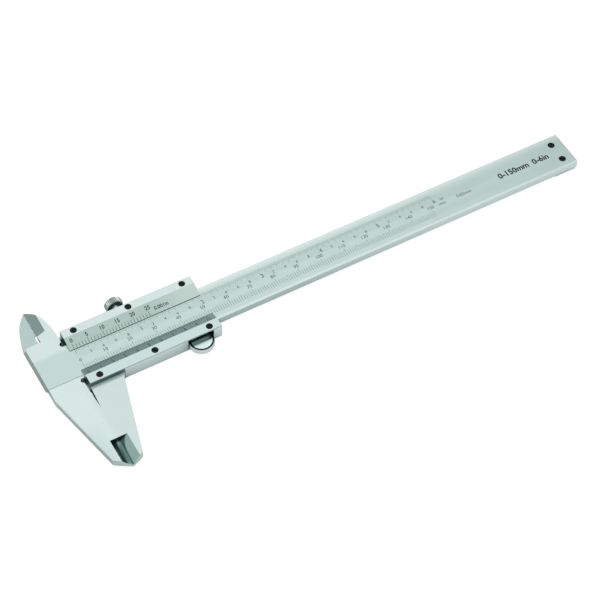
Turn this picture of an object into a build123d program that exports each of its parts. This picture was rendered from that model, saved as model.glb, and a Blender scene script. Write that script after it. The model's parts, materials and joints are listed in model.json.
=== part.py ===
from build123d import *
import os
from math import cos, pi, sin

# Vernier caliper for 150 mm, closed, lying on its back.
# Millimetres. +X runs along the beam towards its free end, +Y towards the inside jaws,
# +Z out of the scale face. The origin is on the plane where the measuring faces meet (x = 0),
# on the beam's centreline (y = 0), on the back face that the caliper rests on (z = 0).

# Heights above the resting face
SLIDER_FLOOR = 1.15
BEAM_BACK = 1.2
BEAM_THICKNESS = 3.5
BEAM_FRONT = BEAM_BACK + BEAM_THICKNESS
JAW_SET_BACK = 0.15
JAW_FRONT = BEAM_FRONT - JAW_SET_BACK
JAW_BACK = BEAM_BACK + JAW_SET_BACK
PLATE_BACK = BEAM_FRONT + 0.05
PLATE_THICKNESS = 1.85
PLATE_FRONT = PLATE_BACK + PLATE_THICKNESS

# Beam
BEAM_WIDTH = 16.0
HALF_WIDTH = BEAM_WIDTH / 2
BEAM_END = 216.7
HEAD_LEFT = -14.4
HEAD_BEVEL_WIDTH = 1.1
HEAD_BEVEL_DROP = 0.7
HEAD_NOSE = 0.3
LOWER_BEVEL_WIDTH = 0.9
LOWER_BEVEL_DROP = 0.35
BAND_HALF_WIDTH = 6.9
END_RADIUS = 0.2
EDGE_BREAK = 0.15

# Jaws
JAW_LEFT = -13.25
JAW_TIP_Y = -48.7
RELIEF_START_Y = -22.7
RELIEF_DEPTH = 0.6
ROOT_NOTCH_X = -0.35
ROOT_NOTCH_RADIUS = 1.1
TIP_GROOVE_HALF_WIDTH = 3.4
TIP_GROOVE_DEPTH = 1.55
TIP_GROOVE_HOLLOW = 0.4
TIP_GROOVE_START_Y = -36.8
TIP_BACK_DEPTH = 0.4
INSIDE_EDGE_X = -6.9
INSIDE_TIP_Y = 29.2
INSIDE_BEVEL_WIDTH = 3.5
INSIDE_BEVEL_START_Y = 16.6
INSIDE_BEVEL_SLANT = 1.1
INSIDE_BLADE = 0.4
INSIDE_SPLIT_LOW = 2.9
INSIDE_SPLIT_HIGH = 3.0
ARM_LEFT = -13.8
HEAD_TOP_Y = 13.6
SIGHT_SLOT_LEFT = -7.7
SIGHT_SLOT_RIGHT = -7.0
REAR_SLOT_END_Y = 18.4
SLOT_EASE = 0.3

# Slider
SLIDER_LEFT = 0.7
SLIDER_RIGHT = 54.3
SLIDER_TOP_Y = 13.4
SLIDER_LOW_Y = -12.8
BACK_BREAK = 0.5
FLOOR_LEFT = -3.0
FLOOR_CORNER = 2.0
RUNNING_GAP = 0.05
GIB_SPACE = 0.55
PLATE_LIP = 0.2
UPPER_LIP_Y = 4.75
UPPER_FLAT_Y = 9.8
LOWER_LIP_Y = -4.7
LOWER_FLAT_Y = -8.6

# Plate screws
PLATE_SCREW_X = [5.4, 27.7, 50.1]
UPPER_SCREW_Y = 11.5
LOWER_SCREW_Y = -10.75
SCREW_HEAD_RADIUS = 1.3
SCREW_SHANK_RADIUS = 0.8
SCREW_HEAD_HEIGHT = 0.95
SCREW_RECESS = 0.12
SCREW_END_Z = 3.95
SCREW_HEAD_CHAMFER = 0.12
SCREW_SLOT_WIDTH = 0.36
SCREW_SLOT_DEPTH = 0.4
FIRST_UPPER_SLOT = 20
FIRST_LOWER_SLOT = 75
SLOT_TURN = 55
FIT = 0.02

# Gib
GIB_THICKNESS = 0.45
GIB_LEFT = 2.0
GIB_RIGHT = 53.0
GIB_SCREW_X = [13.5, 38.5]
GIB_SCREW_RADIUS = 1.0
GIB_POINT_RADIUS = 0.45
GIB_SCREW_Z = 3.0
GIB_SCREW_RECESS = 0.3

# Lock screw
LOCK_X = 24.2
LOCK_Z = 3.55
LOCK_SHANK_RADIUS = 1.0
LOCK_HOLE_RADIUS = 1.05
LOCK_NECK_RADIUS = 1.9
LOCK_HEAD_RADIUS = 3.5
LOCK_HEAD_INNER_Y = 15.5
LOCK_HEAD_OUTER_Y = 18.2
LOCK_PAD_INNER_Y = 9.05
LOCK_PAD_LENGTH = 1.0
LOCK_NECK_CLEARANCE = 0.6
LOCK_KNURLS = 30
LOCK_KNURL_DEPTH = 0.28
LOCK_HEAD_BEVEL = 0.35
LOCK_DIMPLE_RADIUS = 2.0
LOCK_DIMPLE_DEPTH = 0.3

# Thumb roller
ROLLER_RADIUS = 5.0
ROLLER_X = 45.6
ROLLER_Y = -(HALF_WIDTH + ROLLER_RADIUS + FIT)
ROLLER_BACK = 1.55
ROLLER_FRONT = 3.75
ROLLER_KNURLS = 42
ROLLER_KNURL_DEPTH = 0.22
ROLLER_RIM = 0.4
ROLLER_RING_WIDTH = 0.55
ROLLER_RING_DEPTH = 0.9
ROLLER_PIN_RADIUS = 1.0
ROLLER_PIN_TOP = 3.1
EAR_RADIUS = 2.6
ROLLER_POCKET_RADIUS = 5.3
POCKET_BACK = 1.45
POCKET_FRONT = 3.85
WINDOW_TOP = 6.2
WINDOW_DEPTH = 1.1

# Depth rod
ROD_LEFT = 36.0
ROD_HALF_WIDTH = 1.5
ROD_BACK = 1.25
ROD_FRONT = 2.75
GROOVE_LEFT = 35.0
GROOVE_HALF_WIDTH = 1.6
GROOVE_DEPTH = 1.7
RIVET_X = [39.0, 49.0]
RIVET_RADIUS = 0.8
ROD_RELIEF_LENGTH = 4.0
ROD_RELIEF_Y = 0.5

# End stop
STOP_LEFT = 206.5
STOP_SCREW_X = 212.0
STOP_SCREW_Y = 4.0
STOP_HEAD_RADIUS = 1.4
STOP_SHANK_RADIUS = 0.9
STOP_SCREW_END_Z = 0.15
STOP_SLOT_ANGLE = 35
STOP_HALF_WIDTH = 7.6
STOP_CORNER_RADIUS = 0.5


# Shared shapes

def block(x0, x1, y0, y1, z0, z1):
    """Box between two opposite corners."""
    middle = Pos((x0 + x1) / 2, (y0 + y1) / 2, (z0 + z1) / 2)
    return middle * Box(x1 - x0, y1 - y0, z1 - z0)


def sheet(outline, z0, z1):
    """Flat piece with an outline in X and Y, from z0 to z1."""
    return extrude(Pos(0, 0, z0) * make_face(outline), z1 - z0, dir=(0, 0, 1))


def bar_along_x(section, x0, x1):
    """Straight bar with a closed section in Y and Z."""
    outline = Polyline(*[(x0, y, z) for y, z in section], close=True)
    return extrude(make_face(outline), x1 - x0, dir=(1, 0, 0))


def bar_along_y(section, y0, y1):
    """Straight bar with a closed section in X and Z."""
    outline = Polyline(*[(x, y0, z) for x, z in section], close=True)
    return extrude(make_face(outline), y1 - y0, dir=(0, 1, 0))


def rod_along_z(x, y, z0, z1, radius):
    """Round rod with its axis along Z."""
    return Pos(x, y, (z0 + z1) / 2) * Cylinder(radius, z1 - z0)


def rod_along_y(x, z, y0, y1, radius):
    """Round rod with its axis along Y."""
    return Pos(x, (y0 + y1) / 2, z) * Rot(90, 0, 0) * Cylinder(radius, y1 - y0)


def knurled_disc(radius, thickness, teeth, depth):
    """Disc centred on the origin, axis Z, with straight V knurls on its rim."""
    points = []
    for i in range(2 * teeth):
        reach = radius if i % 2 == 0 else radius - depth
        angle = pi * i / teeth
        points.append((reach * cos(angle), reach * sin(angle)))
    face = make_face(Polyline(*points, close=True))
    return Pos(0, 0, -thickness / 2) * extrude(face, thickness, dir=(0, 0, 1))


def bevelled_rim(disc, radius, thickness, bevel):
    """Cut both rim edges of a disc back at 45 degrees."""
    limit = Cylinder(radius, thickness)
    return disc & chamfer(limit.edges().filter_by(GeomType.CIRCLE), bevel)


def slotted_screw(x, y, top, head_radius, head_height, shank_radius, end, slot_angle):
    """Cheese-head screw along Z, head up, with a driver slot."""
    head = rod_along_z(x, y, top - head_height, top, head_radius)
    head = chamfer(head.edges().group_by(Axis.Z)[-1], SCREW_HEAD_CHAMFER)
    shank = rod_along_z(x, y, end, top - head_height, shank_radius)
    slot = Box(3 * head_radius, SCREW_SLOT_WIDTH, 2 * SCREW_SLOT_DEPTH)
    return head + shank - Pos(x, y, top) * Rot(0, 0, slot_angle) * slot


def screw_seat(x, y, top, head_radius, head_height, shank_radius, end):
    """Counterbored hole that a slotted screw sits in, as a cutting solid."""
    seat = rod_along_z(x, y, top - head_height, top + 1, head_radius + FIT)
    return seat + rod_along_z(x, y, end - FIT, top, shank_radius + FIT)


# Jaw outlines and cutters

def tip_groove():
    """V groove across both jaw tips, hollow on its left side, and a shallow one on the back."""
    half = TIP_GROOVE_HALF_WIDTH
    low = JAW_TIP_Y - 1
    valley = JAW_FRONT - TIP_GROOVE_DEPTH
    hollow_middle = (-half / 2, low, (JAW_FRONT + valley) / 2 - TIP_GROOVE_HOLLOW)
    hollow = ThreePointArc((-half, low, JAW_FRONT), hollow_middle, (0, low, valley))
    rest = Polyline(
        (0, low, valley),
        (half, low, JAW_FRONT),
        (half, low, BEAM_FRONT),
        (-half, low, BEAM_FRONT),
        (-half, low, JAW_FRONT),
    )
    front = extrude(make_face(hollow + rest), TIP_GROOVE_START_Y - low, dir=(0, 1, 0))
    over = 0.5
    back_slope = TIP_BACK_DEPTH / half
    back = [
        (-half - over, JAW_BACK - back_slope * over),
        (half + over, JAW_BACK - back_slope * over),
        (0, JAW_BACK + TIP_BACK_DEPTH),
    ]
    return front + bar_along_y(back, low, TIP_GROOVE_START_Y)


def fixed_outside_jaw():
    """Long jaw on the beam's head, below the beam."""
    outline = Polyline(
        (0, JAW_TIP_Y),
        (0, RELIEF_START_Y),
        (-RELIEF_DEPTH, -HALF_WIDTH - 1),
        (-RELIEF_DEPTH, -BAND_HALF_WIDTH + 1),
        (JAW_LEFT, -BAND_HALF_WIDTH + 1),
        (JAW_LEFT, -12.5),
        (-12.7, -14.8),
        (-6.1, -44.6),
        close=True,
    )
    return sheet(outline, JAW_BACK, JAW_FRONT)


def fixed_inside_jaw():
    """Short jaw above the beam: the front half of the crossed pair."""
    left = JAW_LEFT
    corner = 1.0
    right = ROOT_NOTCH_X - 0.05
    root = Polyline(
        (INSIDE_EDGE_X, INSIDE_TIP_Y),
        (INSIDE_EDGE_X, INSIDE_BEVEL_START_Y),
        (SIGHT_SLOT_RIGHT, INSIDE_BEVEL_START_Y - SLOT_EASE),
        (SIGHT_SLOT_RIGHT, HEAD_TOP_Y),
        (left + corner, HEAD_TOP_Y),
    )
    shoulder = RadiusArc((left + corner, HEAD_TOP_Y), (left, HEAD_TOP_Y - corner), -corner)
    side = Polyline(
        (left, HEAD_TOP_Y - corner),
        (left, BAND_HALF_WIDTH - 1),
        (right, BAND_HALF_WIDTH - 1),
        (right, 12),
    )
    back = Spline(
        (right, 12),
        (-1.2, 20.3),
        (-3.3, 25.7),
        (INSIDE_EDGE_X, INSIDE_TIP_Y),
        tangents=[(0, 1), (-1, 0.8)],
    )
    jaw = sheet(root + shoulder + side + back, INSIDE_SPLIT_HIGH, JAW_FRONT)
    blade = INSIDE_SPLIT_HIGH + INSIDE_BLADE
    wide = INSIDE_EDGE_X + INSIDE_BEVEL_WIDTH
    over = INSIDE_EDGE_X - 1
    bevel = [(wide, JAW_FRONT), (INSIDE_EDGE_X, blade), (over, blade), (over, BEAM_FRONT), (wide, BEAM_FRONT)]
    return jaw - inside_bevel(bevel, wide)


def inside_bevel(section, wide):
    """Cutter for an inside jaw's bevel, out from the measuring edge to x = wide, with a slanted end."""
    over = 2 * INSIDE_EDGE_X - wide
    end = INSIDE_TIP_Y + 1
    limit = Polyline(
        (over, INSIDE_BEVEL_START_Y - INSIDE_BEVEL_SLANT),
        (wide, INSIDE_BEVEL_START_Y + INSIDE_BEVEL_SLANT),
        (wide, end),
        (over, end),
        close=True,
    )
    return bar_along_y(section, HEAD_TOP_Y, end) & sheet(limit, 0, BEAM_FRONT)


def moving_inside_jaw():
    """Short jaw on the slider: the rear half of the crossed pair, on an arm behind the head."""
    arm_top = SLIDER_TOP_Y + 0.2
    low = HALF_WIDTH + RUNNING_GAP + GIB_SPACE
    front = Spline(
        (ARM_LEFT, arm_top),
        (-12.9, 18.6),
        (-11.2, 23.6),
        (INSIDE_EDGE_X, INSIDE_TIP_Y + 0.4),
        tangents=[(0, 1), (1, 1.1)],
    )
    root = Polyline(
        (INSIDE_EDGE_X, INSIDE_TIP_Y + 0.4),
        (INSIDE_EDGE_X, REAR_SLOT_END_Y),
        (SIGHT_SLOT_LEFT, REAR_SLOT_END_Y - SLOT_EASE),
        (SIGHT_SLOT_LEFT, arm_top),
        (SLIDER_LEFT - 0.6, arm_top),
        (SLIDER_LEFT + 2, SLIDER_TOP_Y),
        (SLIDER_LEFT + 2, low),
        (ARM_LEFT, low),
        (ARM_LEFT, arm_top),
    )
    jaw = sheet(front + root, BEAM_BACK, INSIDE_SPLIT_LOW)
    blade = INSIDE_SPLIT_LOW - INSIDE_BLADE
    wide = INSIDE_EDGE_X - INSIDE_BEVEL_WIDTH
    over = INSIDE_EDGE_X + 1
    bevel = [(wide, BEAM_BACK), (INSIDE_EDGE_X, blade), (over, blade), (over, 0), (wide, 0)]
    return jaw - inside_bevel(bevel, wide)


def moving_outside_jaw():
    """Long jaw on the slider, beside the fixed one."""
    outline = Polyline(
        (0, JAW_TIP_Y),
        (4.8, -46.4),
        (13.1, -15.1),
        (14.4, SLIDER_LOW_Y),
        (14.4, SLIDER_LOW_Y + 2),
        (SLIDER_LEFT, SLIDER_LOW_Y + 2),
        (SLIDER_LEFT, SLIDER_LOW_Y),
        (RELIEF_DEPTH, SLIDER_LOW_Y),
        (0, RELIEF_START_Y),
        close=True,
    )
    return Pos(FIT / 2, 0, 0) * sheet(outline, JAW_BACK, JAW_FRONT)


# Pieces on the beam

def make_beam():
    """Beam, head and the two fixed jaws, forged as one piece."""
    half = HALF_WIDTH
    section = [
        (-half + EDGE_BREAK, BEAM_BACK),
        (half - EDGE_BREAK, BEAM_BACK),
        (half, BEAM_BACK + EDGE_BREAK),
        (half, BEAM_FRONT - EDGE_BREAK),
        (half - EDGE_BREAK, BEAM_FRONT),
        (-half + LOWER_BEVEL_WIDTH, BEAM_FRONT),
        (-half, BEAM_FRONT - LOWER_BEVEL_DROP),
        (-half, BEAM_BACK + EDGE_BREAK),
    ]
    bar = bar_along_x(section, JAW_LEFT, BEAM_END)
    corners = bar.edges().filter_by(Axis.Z).group_by(Axis.X)[-1]
    bar = fillet(corners, END_RADIUS)
    for side in (-1, 1):
        inner, outer = sorted((side * BAND_HALF_WIDTH, side * (half + 1)))
        bar -= block(JAW_LEFT - 1, 0, inner, outer, JAW_FRONT, BEAM_FRONT + 1)
    beam = bar + fixed_outside_jaw() + fixed_inside_jaw()
    beam += head_edge(-BAND_HALF_WIDTH, BAND_HALF_WIDTH, BEAM_FRONT)
    beam += head_edge(BAND_HALF_WIDTH, HEAD_TOP_Y - HEAD_BEVEL_WIDTH, JAW_FRONT)
    beam -= tip_groove()
    notch_y = half + ROOT_NOTCH_RADIUS * 0.95
    for y in (-notch_y, notch_y):
        beam -= rod_along_z(ROOT_NOTCH_X, y, 0, PLATE_FRONT, ROOT_NOTCH_RADIUS)
    groove_top = BEAM_BACK + GROOVE_DEPTH
    groove = block(GROOVE_LEFT, BEAM_END + 1, -GROOVE_HALF_WIDTH, GROOVE_HALF_WIDTH, 0, groove_top)
    beam -= groove
    for y in (-STOP_SCREW_Y, STOP_SCREW_Y):
        beam -= stop_screw_seat(y)
    return beam


def head_edge(y0, y1, top):
    """Bevelled nose along the head's left end, clear of the slider's arm behind it."""
    knee = top - HEAD_BEVEL_DROP
    section = [
        (JAW_LEFT + 1, INSIDE_SPLIT_HIGH),
        (JAW_LEFT, INSIDE_SPLIT_HIGH),
        (HEAD_LEFT, knee - HEAD_NOSE),
        (HEAD_LEFT, knee),
        (HEAD_LEFT + HEAD_BEVEL_WIDTH, top),
        (JAW_LEFT + 1, top),
    ]
    return bar_along_y(section, y0, y1)


def stop_screw_seat(y):
    """Counterbored hole for one end-stop screw."""
    top = BEAM_FRONT - SCREW_RECESS
    return screw_seat(STOP_SCREW_X, y, top, STOP_HEAD_RADIUS, SCREW_HEAD_HEIGHT,
                      STOP_SHANK_RADIUS, STOP_SCREW_END_Z)


def make_end_stop_plate():
    """Plate on the back of the beam's free end: stops the slider and covers the rod groove."""
    plate = block(STOP_LEFT, BEAM_END, -STOP_HALF_WIDTH, STOP_HALF_WIDTH, 0, BEAM_BACK)
    plate = fillet(plate.edges().filter_by(Axis.Z), STOP_CORNER_RADIUS)
    plate = chamfer(plate.faces().sort_by(Axis.Z)[0].edges(), 2 * EDGE_BREAK)
    for y in (-STOP_SCREW_Y, STOP_SCREW_Y):
        plate -= stop_screw_seat(y)
    return plate


def make_end_stop_screws():
    """Two screws, put in from the scale face, that hold the end stop."""
    top = BEAM_FRONT - SCREW_RECESS
    return [
        slotted_screw(STOP_SCREW_X, side * STOP_SCREW_Y, top, STOP_HEAD_RADIUS, SCREW_HEAD_HEIGHT,
                      STOP_SHANK_RADIUS, STOP_SCREW_END_Z, STOP_SLOT_ANGLE * side)
        for side in (-1, 1)
    ]


# Pieces on the slider

def roller_pocket():
    """Round pocket that the thumb roller turns in, and its window in the wall's outer face."""
    pocket = rod_along_z(ROLLER_X, ROLLER_Y, POCKET_BACK, POCKET_FRONT, ROLLER_POCKET_RADIUS)
    half = ROLLER_POCKET_RADIUS
    window = block(ROLLER_X - half, ROLLER_X + half, SLIDER_LOW_Y - 1, SLIDER_LOW_Y + WINDOW_DEPTH,
                   POCKET_BACK, WINDOW_TOP)
    return pocket + window


def make_slider_body():
    """Slider: floor behind the beam, a wall along each edge of it, and the two moving jaws."""
    upper_wall = HALF_WIDTH + RUNNING_GAP + GIB_SPACE
    lower_wall = -HALF_WIDTH - RUNNING_GAP
    section = [
        (SLIDER_LOW_Y + BACK_BREAK, 0),
        (SLIDER_TOP_Y - BACK_BREAK, 0),
        (SLIDER_TOP_Y, BACK_BREAK),
        (SLIDER_TOP_Y, PLATE_BACK),
        (upper_wall, PLATE_BACK),
        (upper_wall, SLIDER_FLOOR),
        (lower_wall, SLIDER_FLOOR),
        (lower_wall, PLATE_BACK),
        (SLIDER_LOW_Y, PLATE_BACK),
        (SLIDER_LOW_Y, BACK_BREAK),
    ]
    body = bar_along_x(section, SLIDER_LEFT, SLIDER_RIGHT)
    tongue = block(FLOOR_LEFT, SLIDER_LEFT, SLIDER_LOW_Y + 1, SLIDER_TOP_Y - 1, 0, SLIDER_FLOOR)
    tongue = fillet(tongue.edges().filter_by(Axis.Z).group_by(Axis.X)[0], FLOOR_CORNER)
    body += tongue
    body += moving_outside_jaw() + moving_inside_jaw()
    body += rod_along_z(ROLLER_X, ROLLER_Y, 0, POCKET_BACK, EAR_RADIUS)
    body -= tip_groove()
    body -= roller_pocket()
    body -= rod_along_z(ROLLER_X, ROLLER_Y, -1, POCKET_BACK + 1, ROLLER_PIN_RADIUS + FIT)
    body -= rod_along_y(LOCK_X, LOCK_Z, HALF_WIDTH, SLIDER_TOP_Y + 1, LOCK_HOLE_RADIUS)
    for x in GIB_SCREW_X:
        body -= rod_along_y(x, GIB_SCREW_Z, HALF_WIDTH, SLIDER_TOP_Y + 1, GIB_SCREW_RADIUS + FIT)
    for x in RIVET_X:
        body -= rod_along_z(x, 0, -1, SLIDER_FLOOR + 1, RIVET_RADIUS + FIT)
    for x in PLATE_SCREW_X:
        body -= plate_screw_seat(x, UPPER_SCREW_Y)
        body -= plate_screw_seat(x, LOWER_SCREW_Y)
    return body


def plate_screw_seat(x, y):
    """Counterbored hole for one vernier plate screw."""
    top = PLATE_FRONT - SCREW_RECESS
    return screw_seat(x, y, top, SCREW_HEAD_RADIUS, SCREW_HEAD_HEIGHT, SCREW_SHANK_RADIUS, SCREW_END_Z)


def plate_screws(y, first_angle):
    """Three short screws along one vernier plate."""
    top = PLATE_FRONT - SCREW_RECESS
    return [
        slotted_screw(x, y, top, SCREW_HEAD_RADIUS, SCREW_HEAD_HEIGHT, SCREW_SHANK_RADIUS,
                      SCREW_END_Z, first_angle + SLOT_TURN * i)
        for i, x in enumerate(PLATE_SCREW_X)
    ]


def vernier_plate(outer, flat, lip):
    """Strip screwed to a slider wall: a flat for the screws and a bevel down to the beam face."""
    outward = 1 if outer > 0 else -1
    section = [
        (lip, PLATE_BACK),
        (outer, PLATE_BACK),
        (outer, PLATE_FRONT - EDGE_BREAK),
        (outer - outward * EDGE_BREAK, PLATE_FRONT),
        (flat, PLATE_FRONT),
        (lip, PLATE_BACK + PLATE_LIP),
    ]
    return bar_along_x(section, SLIDER_LEFT, SLIDER_RIGHT)


def make_upper_vernier_plate():
    """Strip with the inch vernier, over the beam's upper edge."""
    plate = vernier_plate(SLIDER_TOP_Y, UPPER_FLAT_Y, UPPER_LIP_Y)
    for x in PLATE_SCREW_X:
        plate -= plate_screw_seat(x, UPPER_SCREW_Y)
    return plate


def make_lower_vernier_plate():
    """Strip with the millimetre vernier, over the beam's lower edge and the roller window."""
    plate = vernier_plate(SLIDER_LOW_Y, LOWER_FLAT_Y, LOWER_LIP_Y)
    plate -= roller_pocket()
    for x in PLATE_SCREW_X:
        plate -= plate_screw_seat(x, LOWER_SCREW_Y)
    return plate


def make_gib_strip():
    """Thin strip between the upper wall and the beam that takes up the play."""
    low = HALF_WIDTH + RUNNING_GAP
    strip = block(GIB_LEFT, GIB_RIGHT, low, low + GIB_THICKNESS, BEAM_BACK + 0.1, BEAM_FRONT - 0.1)
    for x in GIB_SCREW_X:
        strip -= rod_along_y(x, GIB_SCREW_Z, low - 1, low + 2, GIB_POINT_RADIUS + FIT)
    return strip


def make_gib_screws():
    """Two grub screws through the upper wall, with points that sit in the gib strip's holes."""
    seat = HALF_WIDTH + RUNNING_GAP + GIB_THICKNESS
    mouth = SLIDER_TOP_Y - GIB_SCREW_RECESS
    screws = []
    for x in GIB_SCREW_X:
        grub = rod_along_y(x, GIB_SCREW_Z, seat + FIT, mouth, GIB_SCREW_RADIUS)
        point = rod_along_y(x, GIB_SCREW_Z, seat - 0.3, seat + FIT, GIB_POINT_RADIUS)
        slot = Pos(x, mouth, GIB_SCREW_Z) * Box(3, 1.0, SCREW_SLOT_WIDTH)
        screws.append(grub + point - slot)
    return screws


def make_lock_pad():
    """Soft pad between the lock screw's tip and the gib strip."""
    outer = LOCK_PAD_INNER_Y + LOCK_PAD_LENGTH
    return rod_along_y(LOCK_X, LOCK_Z, LOCK_PAD_INNER_Y, outer, LOCK_SHANK_RADIUS)


def make_lock_screw():
    """Knurled thumb screw through the upper wall."""
    thickness = LOCK_HEAD_OUTER_Y - LOCK_HEAD_INNER_Y
    disc = knurled_disc(LOCK_HEAD_RADIUS, thickness, LOCK_KNURLS, LOCK_KNURL_DEPTH)
    disc = bevelled_rim(disc, LOCK_HEAD_RADIUS, thickness, LOCK_HEAD_BEVEL)
    middle = (LOCK_HEAD_OUTER_Y + LOCK_HEAD_INNER_Y) / 2
    head = Pos(LOCK_X, middle, LOCK_Z) * Rot(90, 0, 0) * disc
    tip = LOCK_PAD_INNER_Y + LOCK_PAD_LENGTH + FIT
    shank = rod_along_y(LOCK_X, LOCK_Z, tip, LOCK_HEAD_INNER_Y, LOCK_SHANK_RADIUS)
    neck_start = SLIDER_TOP_Y + LOCK_NECK_CLEARANCE
    neck = rod_along_y(LOCK_X, LOCK_Z, neck_start, LOCK_HEAD_INNER_Y, LOCK_NECK_RADIUS)
    dimple_floor = LOCK_HEAD_OUTER_Y - LOCK_DIMPLE_DEPTH
    dimple = rod_along_y(LOCK_X, LOCK_Z, dimple_floor, LOCK_HEAD_OUTER_Y + 1, LOCK_DIMPLE_RADIUS)
    return head + shank + neck - dimple


def make_thumb_roller():
    """Knurled roller that rolls along the beam's lower edge, with a blind bore for its pin."""
    thickness = ROLLER_FRONT - ROLLER_BACK
    disc = knurled_disc(ROLLER_RADIUS, thickness, ROLLER_KNURLS, ROLLER_KNURL_DEPTH)
    disc = bevelled_rim(disc, ROLLER_RADIUS, thickness, EDGE_BREAK)
    roller = Pos(ROLLER_X, ROLLER_Y, (ROLLER_FRONT + ROLLER_BACK) / 2) * disc
    ring_outer = ROLLER_RADIUS - ROLLER_RIM
    ring = rod_along_z(ROLLER_X, ROLLER_Y, ROLLER_FRONT - ROLLER_RING_DEPTH, ROLLER_FRONT + 1, ring_outer)
    ring -= rod_along_z(ROLLER_X, ROLLER_Y, 0, ROLLER_FRONT + 2, ring_outer - ROLLER_RING_WIDTH)
    bore_top = ROLLER_PIN_TOP + 0.1
    bore = rod_along_z(ROLLER_X, ROLLER_Y, ROLLER_BACK - 1, bore_top, ROLLER_PIN_RADIUS + RUNNING_GAP)
    return roller - ring - bore


def make_roller_pin():
    """Pin set in the slider's ear that the thumb roller turns on."""
    pin = rod_along_z(ROLLER_X, ROLLER_Y, 0.05, ROLLER_PIN_TOP, ROLLER_PIN_RADIUS)
    return chamfer(pin.edges().filter_by(GeomType.CIRCLE), EDGE_BREAK)


def make_depth_rod():
    """Flat rod in the beam's back groove, flush with the beam's end when the jaws are closed."""
    rod = block(ROD_LEFT, BEAM_END, -ROD_HALF_WIDTH, ROD_HALF_WIDTH, ROD_BACK, ROD_FRONT)
    relief_left = BEAM_END - ROD_RELIEF_LENGTH
    rod -= block(relief_left, BEAM_END + 1, ROD_RELIEF_Y, ROD_HALF_WIDTH + 1, 0, BEAM_FRONT)
    for x in RIVET_X:
        rod -= rod_along_z(x, 0, 0, BEAM_FRONT, RIVET_RADIUS + FIT)
    return rod


def make_depth_rod_rivets():
    """Two flush rivets that fix the depth rod to the slider's floor."""
    return [rod_along_z(x, 0, 0.02, ROD_FRONT - 0.05, RIVET_RADIUS) for x in RIVET_X]


PIECES = {
    "beam": make_beam,
    "end_stop_plate": make_end_stop_plate,
    "end_stop_screws": make_end_stop_screws,
    "slider_body": make_slider_body,
    "upper_vernier_plate": make_upper_vernier_plate,
    "lower_vernier_plate": make_lower_vernier_plate,
    "upper_plate_screws": lambda: plate_screws(UPPER_SCREW_Y, FIRST_UPPER_SLOT),
    "lower_plate_screws": lambda: plate_screws(LOWER_SCREW_Y, FIRST_LOWER_SLOT),
    "gib_strip": make_gib_strip,
    "gib_screws": make_gib_screws,
    "lock_pad": make_lock_pad,
    "lock_screw": make_lock_screw,
    "thumb_roller": make_thumb_roller,
    "roller_pin": make_roller_pin,
    "depth_rod": make_depth_rod,
    "depth_rod_rivets": make_depth_rod_rivets,
}

os.makedirs("parts", exist_ok=True)
for node, make in PIECES.items():
    piece = make()
    if isinstance(piece, list):
        piece = Compound(children=[solid for item in piece for solid in item.solids()])
    export_step(piece, f"parts/{node}.step")
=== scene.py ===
import json
import math

import bmesh
import bpy
from mathutils import Matrix, Vector
from mathutils.bvhtree import BVHTree


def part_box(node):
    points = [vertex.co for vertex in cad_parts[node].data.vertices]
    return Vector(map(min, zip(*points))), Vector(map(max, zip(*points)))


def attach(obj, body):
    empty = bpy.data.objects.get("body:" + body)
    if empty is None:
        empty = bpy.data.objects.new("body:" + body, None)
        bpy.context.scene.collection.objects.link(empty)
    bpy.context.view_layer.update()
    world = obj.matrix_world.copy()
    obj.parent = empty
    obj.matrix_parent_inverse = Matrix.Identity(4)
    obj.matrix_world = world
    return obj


# A closed 150 mm vernier caliper lying on its back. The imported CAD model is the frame: its metal gets
# its finishes here, and the engraved scales are built here and laid on the CAD surfaces.
# Places and lengths are in metres throughout.

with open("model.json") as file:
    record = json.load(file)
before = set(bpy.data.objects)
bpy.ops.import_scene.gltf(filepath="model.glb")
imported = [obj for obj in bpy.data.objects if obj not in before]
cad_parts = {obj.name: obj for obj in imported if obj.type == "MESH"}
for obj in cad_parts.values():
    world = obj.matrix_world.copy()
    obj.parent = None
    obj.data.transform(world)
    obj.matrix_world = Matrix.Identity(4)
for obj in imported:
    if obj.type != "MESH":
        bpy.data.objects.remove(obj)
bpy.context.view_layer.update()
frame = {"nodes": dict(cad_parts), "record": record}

MM = 0.001
INCH = 0.0254

# Places that the finishes and the scales are set out from. Left is towards -X and down is towards -Y,
# as the caliper lies in front of the reader, and the front is the side with the scales.

beam_low, beam_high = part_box("beam")
upper_low, upper_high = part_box("upper_vernier_plate")
lower_low, lower_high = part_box("lower_vernier_plate")
stop_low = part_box("end_stop_plate")[0]
roller_low, roller_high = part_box("thumb_roller")

VERNIER_ZERO_INSET = 1.8 * MM
ZERO = upper_low.x + VERNIER_ZERO_INSET
HALF_WIDTH = 8.0 * MM
BEAM_FACE = beam_high.z
JAW_TOP = BEAM_FACE - 0.15 * MM
JAW_SPLIT = 3.0 * MM
JAW_RIGHT = 14.4 * MM
NOSE_RIGHT = beam_low.x + 1.2 * MM
GROOVE_START = -36.8 * MM
GROOVE_HALF = 3.4 * MM
WINDOW_MARGIN = 0.5 * MM
SCALE_END = ZERO + 145 * MM

ROLLER_MIDDLE_X = (roller_low.x + roller_high.x) / 2
ROLLER_MIDDLE_Y = (roller_low.y + roller_high.y) / 2
ROLLER_RADIUS = (roller_high.x - roller_low.x) / 2
RING_OUTER = ROLLER_RADIUS - 0.4 * MM
RING_INNER = RING_OUTER - 0.55 * MM
LOCK_HEAD_START = 9 * MM


# Node building

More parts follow.
